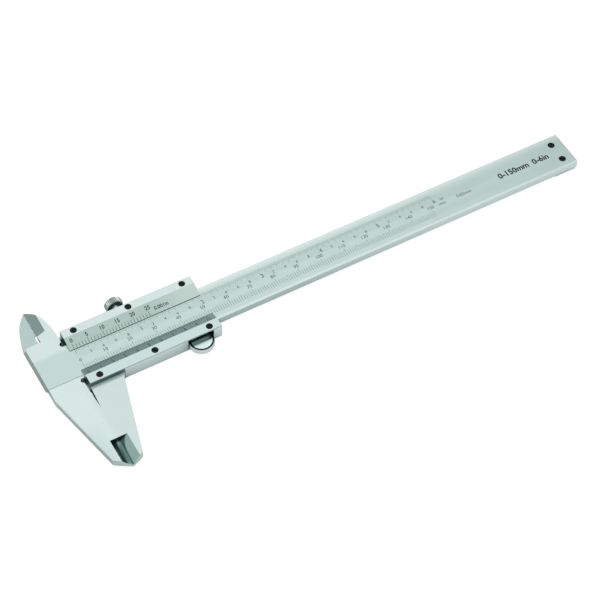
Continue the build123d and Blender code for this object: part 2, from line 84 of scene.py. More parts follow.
class Nodes:
    """A node tree, with short ways to add joined-up nodes."""

    def __init__(self, tree):
        self.tree = tree

    def add(self, kind, inputs=None, **settings):
        """Add a node, set its options, and feed its inputs by name or number."""
        node = self.tree.nodes.new(kind)
        for option, value in settings.items():
            setattr(node, option, value)
        for key, value in (inputs or {}).items():
            self.feed(node.inputs[key], value)
        return node

    def feed(self, socket, value):
        """Give an input either another node's output or a plain value."""
        if isinstance(value, bpy.types.NodeSocket):
            self.tree.links.new(value, socket)
        else:
            socket.default_value = value

    def maths(self, operation, a, b=0.0):
        """A sum, product or other two-value calculation, as an output."""
        return self.add("ShaderNodeMath", {0: a, 1: b}, operation=operation).outputs[0]

    def product(self, *values):
        """Several numbers multiplied together."""
        total = values[0]
        for value in values[1:]:
            total = self.maths("MULTIPLY", total, value)
        return total

    def less(self, share, amount):
        """1 where share is 0, going down by an amount where share is 1."""
        return self.maths("SUBTRACT", 1.0, self.maths("MULTIPLY", share, amount))

    def ease(self, value, start, end, low=0.0, high=1.0):
        """Go smoothly from low to high while value goes from start to end, in either direction."""
        inputs = {"Value": value, "From Min": start, "From Max": end, "To Min": low, "To Max": high}
        return self.add("ShaderNodeMapRange", inputs, interpolation_type="SMOOTHSTEP").outputs["Result"]

    def fall(self, value, start, end):
        """Go smoothly from 1 to 0 while value goes from start to end."""
        return self.ease(value, start, end, 1.0, 0.0)

    def within(self, value, start, end, soft):
        """1 while value is between start and end, fading to 0 over a width of soft at both sides."""
        rise = self.ease(value, start - soft, start)
        return self.maths("MULTIPLY", rise, self.fall(value, end, end + soft))

    def is_colour(self, value):
        """Whether a value is a colour, given plainly or as an output."""
        return isinstance(value, tuple) or getattr(value, "type", "") == "RGBA"

    def mix_colours(self, share, a, b, mode="MIX"):
        """Mix two colours, or a colour and a number, in one of Blender's blend modes."""
        node = self.add("ShaderNodeMix", data_type="RGBA", blend_type=mode)
        for number, value in ((0, share), (6, a), (7, b)):
            self.feed(node.inputs[number], value)
        return node.outputs[2]

    def blend(self, share, a, b):
        """Mix two numbers or two colours, from a at share 0 to b at share 1."""
        if self.is_colour(a) or self.is_colour(b):
            return self.mix_colours(share, a, b)
        inputs = {"Factor": share, "A": a, "B": b}
        return self.add("ShaderNodeMix", inputs, data_type="FLOAT").outputs["Result"]

    def combine(self, channels):
        """A colour from its red, green and blue."""
        return self.add("ShaderNodeCombineColor", dict(enumerate(channels))).outputs[0]

    def seen(self):
        """1 for what the camera sees directly, and 0 in reflections."""
        return self.add("ShaderNodeLightPath").outputs["Is Camera Ray"]


class Shader(Nodes):
    """A material's node tree, with the place and direction on the object to hand."""

    def __init__(self, name):
        self.material = bpy.data.materials.new(name)
        self.material.use_nodes = True
        super().__init__(self.material.node_tree)
        self.surface = self.tree.nodes["Principled BSDF"]
        coordinates = self.add("ShaderNodeTexCoord").outputs
        self.place = coordinates["Object"]
        self.facing = self.add("ShaderNodeSeparateXYZ", {"Vector": coordinates["Normal"]}).outputs
        spot = self.add("ShaderNodeSeparateXYZ", {"Vector": self.place}).outputs
        self.x, self.y, self.z = spot["X"], spot["Y"], spot["Z"]

    def noise(self, cells, detail=2.0):
        """Noise with a number of cells per metre along X, Y and Z."""
        scaled = self.add("ShaderNodeVectorMath", {0: self.place, 1: cells}, operation="MULTIPLY")
        inputs = {"Vector": scaled.outputs["Vector"], "Scale": 1.0, "Detail": detail}
        return self.add("ShaderNodeTexNoise", inputs).outputs["Fac"]

    def vary(self, noise, low, high):
        """Turn the middle of a noise's range into the range from low to high."""
        return self.ease(noise, 0.3, 0.7, low, high)

    def tint(self, colour, amount):
        """Multiply a colour by a brightness output."""
        return self.mix_colours(1.0, colour, amount, "MULTIPLY")

    def shadow_tint(self, colour, light):
        """Multiply a colour by a brightness, with shadows that turn slightly blue-green."""
        red, green, blue = (self.maths("POWER", light, power) for power in (1.25, 0.95, 0.97))
        return self.tint(colour, self.combine((red, green, blue)))

    def crevice(self, reach, darkest, full=0.7):
        """Painted shade: brightness that falls towards darkest in gaps and corners closer than reach."""
        open_share = self.add("ShaderNodeAmbientOcclusion", {"Distance": reach}, samples=6).outputs["AO"]
        return self.ease(open_share, 0.1, full, darkest, 1.0)

    def bump(self, height, depth, edge_radius=0.0):
        """Normals from a height between 0 and 1, over edges rounded in the shading."""
        inputs = {"Height": height, "Distance": depth, "Strength": 1.0}
        if edge_radius != 0.0:
            inputs["Normal"] = self.add("ShaderNodeBevel", {"Radius": edge_radius}, samples=4).outputs[0]
        return self.add("ShaderNodeBump", inputs).outputs["Normal"]

    def finish(self, colour, roughness, normal, metallic=1.0):
        """Feed the surface and return the finished material."""
        self.feed(self.surface.inputs["Base Color"], colour)
        self.feed(self.surface.inputs["Roughness"], roughness)
        self.feed(self.surface.inputs["Normal"], normal)
        self.feed(self.surface.inputs["Metallic"], metallic)
        return self.material


# Finishes

EDGE_ROUNDING = 0.045 * MM
CHROME = (0.79, 0.845, 0.83, 1.0)
SCALE_FACE = (0.675, 0.7575, 0.7285, 1.0)
HEAD_FACE = (0.65, 0.735, 0.725, 1.0)
JAW_FACE = (0.73, 0.79, 0.775, 1.0)
# Copies of the chrome for facets, painted by how the light falls on them: the upper bevel, the left sides
# and the inside bevels take painted shade, the left nose painted light.
UPPER_BEVEL = (0.715, 0.77, 0.72, 1.0)
LEFT_SIDE = (0.87, 0.82, 0.81, 1.0)
LEFT_NOSE = (0.97, 0.93, 0.92, 1.0)
LOWER_FLAT = (0.71, 0.80, 0.795, 1.0)
INSIDE_BEVEL = (0.36, 0.43, 0.42, 1.0)
TIP_SLOPE = (0.79, 0.93, 0.90, 1.0)
ROLLER_PLATING = (0.87, 0.93, 0.915, 1.0)
LOCK_PLATING = (0.95, 0.90, 0.885, 1.0)
BLUED_STEEL = (0.014, 0.026, 0.022, 1.0)
ROLLED_BRONZE = (0.72, 0.52, 0.28, 1.0)
INK = (0.05, 0.075, 0.07, 1.0)
DARK_INK = (0.03, 0.045, 0.042, 1.0)

# Parts of a normal's X, Y or Z, from where a face begins to count as turned that way to where it fully is.
TO_FRONT = (0.9, 0.97)
TO_LEFT = (-0.8, -0.95)
TO_LOWER_SIDE = (-0.8, -0.9)
LEANING = (0.25, 0.45)
LEANING_SOFT = 0.04

# Shares by which a place is darker, or brighter, than the same metal in the open.
# At the upper edge, the lower strip, the lower walls, the left sides and the walls in corners these are
# painted highlights and painted shade.
INCH_ROW_DULL = 0.07
MILLIMETRE_ROW_DULL = 0.045
UPPER_EDGE_HIGHLIGHT = 0.20
SCALE_END_DULL = 0.06
LOWER_STRIP_BRIGHT = 0.04
SLIDER_WALL_BRIGHT = 0.13
# Painted shade on faces turned to the left.
LEFT_SIDE_SHADE = 0.15
REAR_JAW_DULL = 0.24
JAW_TIP_DULL = 0.14
ABOVE_JAW_DARK = 0.70
WINDOW_DARK = 0.96
LIP_DARK = 0.85
GROOVE_END_DARK = 0.8
NOTCH_DARK = 0.85

# Brightness that is left in the painted shade of the darkest gaps, of the wedge between the jaws and of
# the groove's hollow, where a painted reflection streak adds to it, and how much of the rows' dullness is
# left at the beam's free end.
GAP_LEFT = 0.10
WEDGE_LEFT = 0.5
HOLLOW_LEFT = 0.24
STREAK_BRIGHT = 0.30
ROWS_LEFT = 0.3

# Widths over which a mask fades.
SOFT = 0.1 * MM
SHARP = 0.02 * MM


class ChromeFaces(Shader):
    """The chromed pieces' material, with masks that pick out faces by their place and direction, mostly to
    paint shade and light on them.
    """

    def __init__(self, name):
        super().__init__(name)
        self.front = self.ease(self.facing["Z"], *TO_FRONT)
        self.turned_left = self.ease(self.facing["X"], *TO_LEFT)
        self.turned_down = self.ease(self.facing["Y"], *TO_LOWER_SIDE)
        least_lean, most_lean = LEANING
        leaning_down = self.within(self.facing["Y"], -most_lean, -least_lean, LEANING_SOFT)
        self.bevel_down = self.maths("MULTIPLY", leaning_down, self.ease(self.facing["Z"], 0.85, 0.9))

    def scale(self):
        """The beam's top plane."""
        level = self.ease(self.z, BEAM_FACE - 0.10 * MM, BEAM_FACE - 0.04 * MM)
        below_plates = self.fall(self.z, BEAM_FACE + 0.01 * MM, BEAM_FACE + 0.03 * MM)
        return self.product(level, below_plates, self.front)

    def scale_light(self):
        """Brightness across the scale: duller over the rows of marks, with a painted highlight at the
        upper edge.
        """
        inch_row = self.within(self.y, 1.2 * MM, 3.6 * MM, 1.4 * MM)
        millimetre_row = self.within(self.y, -4.6 * MM, -2.8 * MM, 0.8 * MM)
        rows = self.maths("ADD", self.maths("MULTIPLY", inch_row, -INCH_ROW_DULL),
                          self.maths("MULTIPLY", millimetre_row, -MILLIMETRE_ROW_DULL))
        starts = self.ease(self.x, ZERO - 2 * MM, ZERO)
        fades = self.ease(self.x, SCALE_END, beam_high.x, 1.0, ROWS_LEFT)
        upper_highlight = self.ease(self.y, 4.8 * MM, HALF_WIDTH, 0.0, UPPER_EDGE_HIGHLIGHT)
        change = self.maths("ADD", self.product(rows, starts, fades), upper_highlight)
        overall = self.ease(self.x, SCALE_END, beam_high.x, 1.0, 1.0 - SCALE_END_DULL)
        return self.maths("ADD", change, overall)

    def upper_bevel(self):
        """The upper vernier strip's bevel."""
        return self.maths("MULTIPLY", self.bevel_down, self.ease(self.y, 0.0, MM))

    def vernier_light(self, upper_bevel):
        """Painted shade on the two vernier bevels, darker towards their zeros."""
        leaning_up = self.within(self.facing["Y"], 0.3, 0.5, LEANING_SOFT)
        lower_bevel = self.maths("MULTIPLY", leaning_up, self.fall(self.y, -MM, 0.0))
        upper_bevel_shade = self.ease(self.x, 0.6 * upper_high.x, upper_high.x, 0.26, 0.12)
        lower_bevel_shade = self.ease(self.x, ZERO, upper_high.x, 0.16, 0.02)
        bevel_shade = self.maths("ADD", self.maths("MULTIPLY", upper_bevel, upper_bevel_shade),
                          self.maths("MULTIPLY", lower_bevel, lower_bevel_shade))
        return self.maths("SUBTRACT", 1.0, bevel_shade)

    def lower_flat(self):
        """The lower vernier strip's flat."""
        level = self.ease(self.z, lower_high.z - 0.2 * MM, lower_high.z - 0.1 * MM)
        return self.product(level, self.fall(self.y, -MM, 0.0), self.front)

    def lower_strip(self):
        """The bevel along the beam's lower edge, which catches the light."""
        at_edge = self.fall(self.y, -HALF_WIDTH + 0.8 * MM, -HALF_WIDTH + MM)
        return self.less(self.maths("MULTIPLY", self.bevel_down, at_edge), -LOWER_STRIP_BRIGHT)

    def lower_walls(self):
        """Painted light and shade on the lower sides of the beam, brighter towards its free end, and of
        the slider.
        """
        beam = self.within(self.y, -HALF_WIDTH, -HALF_WIDTH, 0.05 * MM)
        beam_gain = self.ease(self.x, upper_high.x, 0.8 * beam_high.x, -0.12, 0.18)
        slider = self.product(self.within(self.y, lower_low.y, lower_low.y, SOFT),
                              self.ease(self.x, JAW_RIGHT, JAW_RIGHT + 0.3 * MM))
        gain = self.maths("ADD", self.maths("MULTIPLY", beam, beam_gain),
                          self.maths("MULTIPLY", slider, SLIDER_WALL_BRIGHT))
        return self.maths("ADD", 1.0, self.maths("MULTIPLY", self.turned_down, gain))

    def long_jaws(self):
        """Faces of the two long jaws, clear of the beam."""
        set_back = self.fall(self.z, BEAM_FACE - 0.10 * MM, BEAM_FACE - 0.06 * MM)
        return self.product(set_back, self.fall(self.y, -HALF_WIDTH - 5 * MM, -HALF_WIDTH - MM),
                            self.ease(self.x, -3 * MM, MM))

    def jaw_fade(self):
        """Slow fall in brightness towards the fixed jaw's tip."""
        fixed_jaw = self.fall(self.x, -9 * MM, MM)
        towards_tip = self.ease(self.y, -20 * MM, -44 * MM)
        return self.less(self.maths("MULTIPLY", towards_tip, fixed_jaw), JAW_TIP_DULL)

    def rear_jaw(self):
        """The moving inside jaw, behind the fixed one."""
        behind = self.fall(self.z, JAW_SPLIT + 0.1 * MM, JAW_SPLIT + 0.4 * MM)
        clear_of_beam = self.ease(self.y, HALF_WIDTH, HALF_WIDTH + MM)
        return self.less(self.product(behind, clear_of_beam, self.front), REAR_JAW_DULL)

    def inside_bevels(self):
        """The ground bevels of the inside jaws, whose dark colour is painted shade."""
        tilted = self.ease(self.maths("ABSOLUTE", self.facing["X"]), 0.2, 0.25)
        return self.product(tilted, self.ease(self.facing["Z"], 0.78, 0.84),
                            self.ease(self.y, 9 * MM, 10 * MM),
                            self.ease(self.x, NOSE_RIGHT, NOSE_RIGHT + 0.2 * MM))

    def left_nose(self):
        """The slanting strip down the head's left end, which gets painted light."""
        slant = self.within(self.facing["X"], -0.8, -0.4, 0.05)
        return self.maths("MULTIPLY", slant, self.fall(self.x, NOSE_RIGHT, NOSE_RIGHT + 0.2 * MM))

    def corners(self):
        """Painted shade on walls in corners: over the moving jaw, in the roller's window, in the notch, at
        the groove's end and at the lips.
        """
        above_jaw = self.product(self.fall(self.x, JAW_RIGHT, JAW_RIGHT + 0.3 * MM),
                                 self.fall(self.y, lower_low.y + 0.1 * MM, lower_low.y + 0.2 * MM),
                                 self.ease(self.y, lower_low.y - 0.2 * MM, lower_low.y - 0.1 * MM),
                                 self.turned_down, self.seen())
        window_top = -HALF_WIDTH - 0.2 * MM
        window = self.product(self.over_roller(),
                              self.within(self.y, lower_low.y + 0.5 * MM, window_top, SOFT),
                              self.fall(self.z, BEAM_FACE + 0.1 * MM, BEAM_FACE + 0.9 * MM),
                              self.turned_down)
        lip = self.product(self.within(self.y, upper_low.y, upper_low.y, 0.04 * MM), self.turned_down)
        groove_end = self.product(self.within(self.y, GROOVE_START - SOFT, GROOVE_START + SOFT, SOFT),
                                  self.turned_down)
        notch = self.product(self.within(self.x, -1.5 * MM, upper_low.x - 0.01 * MM, SHARP),
                             self.within(self.y, HALF_WIDTH, HALF_WIDTH + 4.4 * MM, SOFT),
                             self.fall(self.z, JAW_TOP - 0.15 * MM, JAW_TOP - 0.05 * MM))
        return self.product(self.less(above_jaw, ABOVE_JAW_DARK), self.less(window, WINDOW_DARK),
                            self.less(lip, LIP_DARK), self.less(groove_end, GROOVE_END_DARK),
                            self.less(notch, NOTCH_DARK))

    def over_roller(self):
        """The length of slider that is cut away for the roller."""
        return self.within(self.x, roller_low.x - WINDOW_MARGIN, roller_high.x + WINDOW_MARGIN, SOFT)

    def recess(self):
        """The upper part of the recess over the roller, open to the light."""
        at_slider_edge = self.within(self.y, lower_low.y + 0.1 * MM, lower_low.y + 1.2 * MM, 0.05 * MM)
        return self.product(self.over_roller(), at_slider_edge,
                            self.ease(self.z, BEAM_FACE + 0.1 * MM, BEAM_FACE + 0.9 * MM),
                            self.fall(self.z, lower_high.z - 0.35 * MM, lower_high.z - 0.3 * MM))

    def meeting(self):
        """The line where the long jaws' faces meet, ground flush."""
        return self.product(self.within(self.x, -0.4 * MM, 0.4 * MM, SOFT),
                            self.fall(self.y, -22 * MM, -20 * MM), self.front)

    def wedge(self):
        """The moving jaw's side in the wedge-shaped gap above that line."""
        return self.product(self.within(self.x, -0.4 * MM, 2.5 * MM, SOFT),
                            self.within(self.y, -21 * MM, -8.5 * MM, 0.5 * MM), self.turned_left)

    def seam(self):
        """Sides at the level of the beam's face, where two pieces meet closely."""
        level = self.within(self.z, BEAM_FACE, BEAM_FACE + 0.1 * MM, 0.06 * MM)
        return self.maths("MULTIPLY", level, self.fall(self.facing["Z"], 0.4, 0.6))

    def groove(self):
        """The V groove in the long jaws' tips."""
        return self.product(self.within(self.x, -GROOVE_HALF, GROOVE_HALF, SHARP),
                            self.fall(self.z, JAW_TOP - 0.05 * MM, JAW_TOP - 0.01 * MM),
                            self.fall(self.y, GROOVE_START - SHARP, GROOVE_START),
                            self.ease(self.facing["Z"], 0.3, 0.5))

    def groove_light(self):
        """The groove's hollow side: painted shade, with one painted reflection streak that curves down
        along the grinding.

        All in millimetres, across from the line where the jaws meet and down from the groove's start.
        """
        across = self.maths("DIVIDE", self.x, MM)
        down = self.maths("DIVIDE", self.maths("SUBTRACT", GROOVE_START, self.y), MM)
        bend = self.maths("POWER", self.maths("SUBTRACT", down, 6.4), 2.0)
        streak_middle = self.maths("ADD", self.maths("MULTIPLY", bend, 0.03), -1.75)
        off_streak = self.maths("ABSOLUTE", self.maths("SUBTRACT", across, streak_middle))
        streak = self.fall(off_streak, 0.15, 0.6)
        hollow = self.maths("ADD", HOLLOW_LEFT, self.maths("MULTIPLY", streak, STREAK_BRIGHT))
        hollow_end = self.maths("ADD", 0.3, self.maths("MULTIPLY", 2.8, self.maths("POWER", 0.635, down)))
        bright_side = self.ease(self.maths("SUBTRACT", across, hollow_end), -0.25, 0.25)
        return self.blend(bright_side, hollow, 1.0)

    def gap_light(self, meeting):
        """Brightness in gaps: nearly black, except where the photo's steel stays light."""
        wide_gaps, fine_gaps = self.crevice(2.5 * MM, GAP_LEFT), self.crevice(0.6 * MM, GAP_LEFT)
        gaps = self.blend(self.front, wide_gaps, fine_gaps)
        least = self.maths("MAXIMUM", self.maths("MULTIPLY", self.wedge(), WEDGE_LEFT), meeting)
        least = self.maths("MAXIMUM", least, self.recess())
        return self.maths("MAXIMUM", gaps, least)

    def face_colour(self, upper_bevel, on_scale, groove, inside_bevels):
        """Each face's shade of chrome, with painted shade on the left sides, the upper bevel and the
        inside bevels and painted light on the left nose.
        """
        scale_or_head = self.blend(self.ease(self.x, ZERO - 3 * MM, ZERO), HEAD_FACE, SCALE_FACE)
        colour = self.blend(self.long_jaws(), CHROME, JAW_FACE)
        colour = self.blend(self.turned_left, colour, LEFT_SIDE)
        colour = self.blend(self.left_nose(), colour, LEFT_NOSE)
        colour = self.blend(self.lower_flat(), colour, LOWER_FLAT)
        colour = self.blend(upper_bevel, colour, UPPER_BEVEL)
        colour = self.blend(on_scale, colour, scale_or_head)
        colour = self.blend(groove, colour, TIP_SLOPE)
        return self.blend(inside_bevels, colour, INSIDE_BEVEL)


def satin_chrome():
    """Fine-ground and chromed steel."""
    s = ChromeFaces("satin_chrome")
    clouds = s.noise((55, 55, 55), 3.0)
    along_beam = s.noise((140, 7000, 7000), 3.0)
    down_jaws = s.noise((9000, 160, 9000))
    wear = s.maths("ADD", s.vary(clouds, 0.955, 1.0), s.vary(along_beam, -0.02, 0.02))
    on_scale = s.scale()
    upper_bevel = s.upper_bevel()
    inside_bevels = s.inside_bevels()
    groove = s.groove()
    meeting = s.meeting()
    # The brightness is random tone times painted shade and painted light: in gaps, on the bevels and
    # edges, on the left sides, in corners and on the lower walls.
    light = s.product(wear, s.gap_light(meeting), s.vernier_light(upper_bevel), s.lower_strip(),
                      s.rear_jaw(), s.less(s.turned_left, LEFT_SIDE_SHADE), s.corners(), s.jaw_fade(),
                      s.lower_walls(), s.blend(on_scale, 1.0, s.scale_light()),
                      s.blend(groove, 1.0, s.groove_light()))
    colour = s.face_colour(upper_bevel, on_scale, groove, inside_bevels)
    wheel_ground = s.maths("MAXIMUM", inside_bevels, groove)
    roughness = s.blend(wheel_ground, s.vary(clouds, 0.30, 0.36), 0.24)
    grain = s.blend(wheel_ground, along_beam, down_jaws)
    flush = s.maths("MAXIMUM", s.seam(), meeting)
    rounding = s.maths("MULTIPLY", s.maths("SUBTRACT", 1.0, flush), EDGE_ROUNDING)
    return s.finish(s.shadow_tint(colour, light), roughness, s.bump(grain, 0.004 * MM, rounding))


def roller_ring(s):
    """The thin dark ring on the roller's face, painted shade near its rim."""
    across = s.maths("SUBTRACT", s.x, ROLLER_MIDDLE_X)
    along = s.maths("SUBTRACT", s.y, ROLLER_MIDDLE_Y)
    squares = s.maths("ADD", s.maths("MULTIPLY", across, across), s.maths("MULTIPLY", along, along))
    radius = s.maths("SQRT", squares)
    return s.product(s.within(radius, RING_INNER, RING_OUTER + 0.1 * MM, 0.03 * MM),
                     s.ease(s.z, roller_high.z - 1.1 * MM, roller_high.z - MM))


def turned_steel():
    """Plated steel with fine turning rings, with painted shade down in the knurls, under the lock screw's
    head and on the roller's face, and painted light on the roller's rim.
    """
    s = Shader("turned_steel")
    grain = s.noise((7000, 7000, 7000))
    clouds = s.noise((260, 260, 260))
    speckle = s.noise((2600, 2600, 2600))
    lock_head = s.ease(s.y, LOCK_HEAD_START, LOCK_HEAD_START + MM)
    # Painted shade under the lock screw's head and on the roller's face, and painted light on the roller's
    # rim.
    under_head = s.maths("MULTIPLY", lock_head, s.fall(s.facing["Y"], -0.9, -0.7))
    roller_rim = s.ease(s.maths("ABSOLUTE", s.facing["Z"]), 0.5, 0.7, 1.12, 0.88)
    under_light = s.blend(under_head, 1.0, s.ease(speckle, 0.5, 0.75, 0.05, 0.5))
    head_light = s.blend(lock_head, roller_rim, s.ease(speckle, 0.35, 0.6, 0.62, 1.0))
    light = s.product(s.vary(clouds, 0.95, 1.0), s.crevice(0.6 * MM, 0.03, 0.6), under_light, head_light,
                      s.ease(roller_ring(s), 0.0, 1.0, 1.0, 0.03))
    colour = s.shadow_tint(s.blend(lock_head, ROLLER_PLATING, LOCK_PLATING), light)
    roughness = s.maths("MULTIPLY", s.vary(grain, 0.24, 0.34), s.blend(lock_head, 0.75, 1.0))
    return s.finish(colour, roughness, s.bump(grain, 0.003 * MM, 0.05 * MM))


def black_oxide():
    """Blued steel screws, near black with a soft oily sheen."""
    s = Shader("black_oxide")
    grain = s.noise((3500, 3500, 3500), 3.0)
    colour = s.tint(BLUED_STEEL, s.vary(grain, 0.7, 1.2))
    return s.finish(colour, s.vary(grain, 0.38, 0.55), s.bump(grain, 0.006 * MM, 0.05 * MM), 0.7)


def bronze():
    """Rolled bronze of the gib strip and the lock screw's pad."""
    s = Shader("bronze")
    rolling = s.noise((300, 6000, 6000))
    colour = s.tint(ROLLED_BRONZE, s.vary(rolling, 0.85, 1.0))
    return s.finish(colour, s.vary(rolling, 0.3, 0.45), s.bump(rolling, 0.005 * MM, 0.04 * MM))


def engraving_ink(name, colour):
    """Matt paint rubbed into the engraved marks, thinner here and there."""
    s = Shader(name)
    wear = s.noise((1800, 1800, 1800), 3.0)
    worn = s.tint(colour, s.ease(wear, 0.35, 0.75, 0.8, 1.5))
    return s.finish(worn, s.vary(wear, 0.45, 0.7), s.bump(wear, 0.004 * MM), 0.0)


def paint_frame():
    """Give every CAD node the finish that its record slot names."""
    finishes = {
        "satin_chrome": satin_chrome(),
        "turned_steel": turned_steel(),
        "black_oxide": black_oxide(),
        "bronze": bronze(),
    }
    for part in frame["record"]["subparts"]:
        slot = frame["nodes"][part["node"]].material_slots[0]
        slot.link = "OBJECT"
        slot.material = finishes[part["material_slot"]]


# Engraved scales

INK_PROUD = 0.012 * MM
INK_SUNK = 0.03 * MM
MERGE_DISTANCE = 0.0005 * MM
BEAM_TICK_WIDTH = 0.09 * MM
VERNIER_TICK_WIDTH = 0.15 * MM
FIGURE_HEIGHT = 1.5 * MM
LIP_CLEARANCE = 0.12 * MM

# Each vernier's divisions together are as long as 49 divisions of its scale.
MILLIMETRES = 150
MILLIMETRE_VERNIER_PARTS = 50
INCHES = 6
INCH_PARTS = 40
INCH_FIGURES = 5
INCH_VERNIER_PARTS = 25
VERNIER_SPAN = 49

# Text is made at the built-in font's own size, where a figure is this high. The thickness only parts the
# front from the back.
DIGIT_HEIGHT = 0.73
FONT_THICKNESS = 0.1
FONT_STEPS = 3


class Engraving:
    """Marks laid on one face of a CAD node, gathered into one mesh."""

    def __init__(self, node):
        mesh = frame["nodes"][node].data
        corners = [v.co.copy() for v in mesh.vertices]
        self.surface = BVHTree.FromPolygons(corners, [list(p.vertices) for p in mesh.polygons])
        self.mesh = bmesh.new()

    def drop(self, x, y):
        """Height of the node's front surface at a place."""
        hit = self.surface.ray_cast(Vector((x, y, 1.0)), Vector((0, 0, -1)))[0]
        return hit.z

    def tick(self, x, y_start, y_end, width):
        """One straight line across the scale."""
        half = width / 2
        corners = [(x - half, y_start), (x + half, y_start), (x + half, y_end), (x - half, y_end)]
        top = [self.mesh.verts.new((*c, self.drop(*c) + INK_PROUD)) for c in corners]
        bottom = [self.mesh.verts.new((*c, self.drop(*c) - INK_SUNK)) for c in corners]
        self.mesh.faces.new(top)
        self.mesh.faces.new(bottom[::-1])
        for i in range(4):
            j = (i + 1) % 4
            self.mesh.faces.new((top[j], top[i], bottom[i], bottom[j]))

    def text(self, words, x, y, height, weight=0.0):
        """Figures or a unit, centred on a place."""
        curve = bpy.data.curves.new("figures", "FONT")
        curve.body = words
        curve.align_x = "CENTER"
        curve.align_y = "CENTER"
        curve.extrude = FONT_THICKNESS
        curve.offset = weight
        curve.resolution_u = FONT_STEPS
        holder = bpy.data.objects.new("figures", curve)
        bpy.context.scene.collection.objects.link(holder)
        evaluated = holder.evaluated_get(bpy.context.evaluated_depsgraph_get())
        solid = bpy.data.meshes.new_from_object(evaluated)
        size = height / DIGIT_HEIGHT
        for v in solid.vertices:
            spot = (x + v.co.x * size, y + v.co.y * size)
            lift = INK_PROUD if v.co.z > 0 else -INK_SUNK
            v.co = (*spot, self.drop(*spot) + lift)
        self.mesh.from_mesh(solid)
        bpy.data.objects.remove(holder)
        bpy.data.curves.remove(curve)
        bpy.data.meshes.remove(solid)

    def place(self, name, body, ink):
        """Turn the gathered marks into one piece that rides on a body."""
        bmesh.ops.remove_doubles(self.mesh, verts=self.mesh.verts, dist=MERGE_DISTANCE)
        bmesh.ops.recalc_face_normals(self.mesh, faces=self.mesh.faces)
        data = bpy.data.meshes.new(name)
        self.mesh.to_mesh(data)
        self.mesh.free()
        data.materials.append(ink)
        piece = bpy.data.objects.new(name, data)
        bpy.context.scene.collection.objects.link(piece)
        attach(piece, body)


def tick_length(index, steps, lengths):
    """Length of a tick: the first length at every steps[0], and so on, and the last at all the others."""
    for step, length in zip(steps, lengths):
        if index % step == 0:
            return length
    return lengths[-1]


def millimetre_scale(ink):
    """150 mm along the beam's lower half, with a figure every 10 mm."""
    foot = lower_high.y - 0.6 * MM
    ticks = Engraving("beam")
    for i in range(MILLIMETRES + 1):
        length = tick_length(i, (10, 5), (3.4 * MM, 2.9 * MM, 2.3 * MM))
        ticks.tick(ZERO + i * MM, foot, foot + length, BEAM_TICK_WIDTH)
    ticks.place("millimetre_ticks", "beam_assembly", ink)

    numbers = Engraving("beam")
    for i in range(0, MILLIMETRES + 1, 10):
        numbers.text(str(i), ZERO + i * MM, -0.6 * MM, FIGURE_HEIGHT)
    numbers.place("millimetre_numbers", "beam_assembly", ink)


def inch_scale(ink):
    """6 inches in fortieths along the beam's upper half, with a figure every fifth of an inch."""
    foot = upper_low.y + 0.45 * MM
    ticks = Engraving("beam")
    for i in range(INCHES * INCH_PARTS + 1):
        length = tick_length(i, (40, 20, 4), (2.9 * MM, 2.5 * MM, 2.1 * MM, 1.4 * MM))
        ticks.tick(ZERO + i * INCH / INCH_PARTS, foot - length, foot, BEAM_TICK_WIDTH)
    ticks.place("inch_ticks", "beam_assembly", ink)

    numbers = Engraving("beam")
    for i in range(1, INCHES * INCH_FIGURES + 1):
        inches, fifths = divmod(i, INCH_FIGURES)
        x = ZERO + i * INCH / INCH_FIGURES
        if fifths:
            numbers.text(str(2 * fifths), x, 1.35 * MM, 1.25 * MM)
        else:
            numbers.text(str(inches), x + 0.4 * MM, 1.5 * MM, 1.8 * MM)
    numbers.place("inch_numbers", "beam_assembly", ink)


def beam_labels(ink, dark_ink):
    """Plain words at the far end: the units, the resolution and the range."""
    labels = Engraving("beam")
    labels.text("mm", ZERO + 155.2 * MM, -0.6 * MM, FIGURE_HEIGHT)
    labels.text("in", ZERO + 156.2 * MM, 1.5 * MM, FIGURE_HEIGHT)
    labels.text("0.02mm", ZERO + 165.3 * MM, -0.5 * MM, FIGURE_HEIGHT)
    labels.place("unit_labels", "beam_assembly", ink)
    words = Engraving("beam")
    words.text("0-150mm  0-6in", stop_low.x - 10.4 * MM, 0.0, 2.65 * MM, 0.032)
    words.place("range_label", "beam_assembly", dark_ink)


def inch_vernier(ink):
    """25 divisions in 49 fortieths of an inch, on the upper strip's bevel."""
    lip = upper_low.y + LIP_CLEARANCE
    pitch = VERNIER_SPAN * INCH / INCH_PARTS / INCH_VERNIER_PARTS
    bold = 0.02
    marks = Engraving("upper_vernier_plate")
    for i in range(INCH_VERNIER_PARTS + 1):
        length = tick_length(i, (5,), (2.0 * MM, 1.5 * MM))
        marks.tick(ZERO + i * pitch, lip, lip + length, VERNIER_TICK_WIDTH)
        if i % 5 == 0:
            marks.text(str(i), ZERO + i * pitch + 0.3 * MM, 8.0 * MM, 1.55 * MM, bold)
    marks.text("0.001in", ZERO + 36.6 * MM, 6.75 * MM, 1.45 * MM, bold)
    marks.place("inch_vernier", "slider_assembly", ink)


def millimetre_vernier(ink):
    """50 divisions in 49 mm, on the lower strip's bevel."""
    lip = lower_high.y - LIP_CLEARANCE
    pitch = VERNIER_SPAN * MM / MILLIMETRE_VERNIER_PARTS
    marks = Engraving("lower_vernier_plate")
    for i in range(MILLIMETRE_VERNIER_PARTS + 1):
        length = tick_length(i, (5,), (1.9 * MM, 1.3 * MM))
        marks.tick(ZERO + i * pitch, lip - length, lip, VERNIER_TICK_WIDTH)
        if i % 5 == 0:
            marks.text(str(i // 5), ZERO + i * pitch, -7.6 * MM, 1.4 * MM)
    marks.place("millimetre_vernier", "slider_assembly", ink)


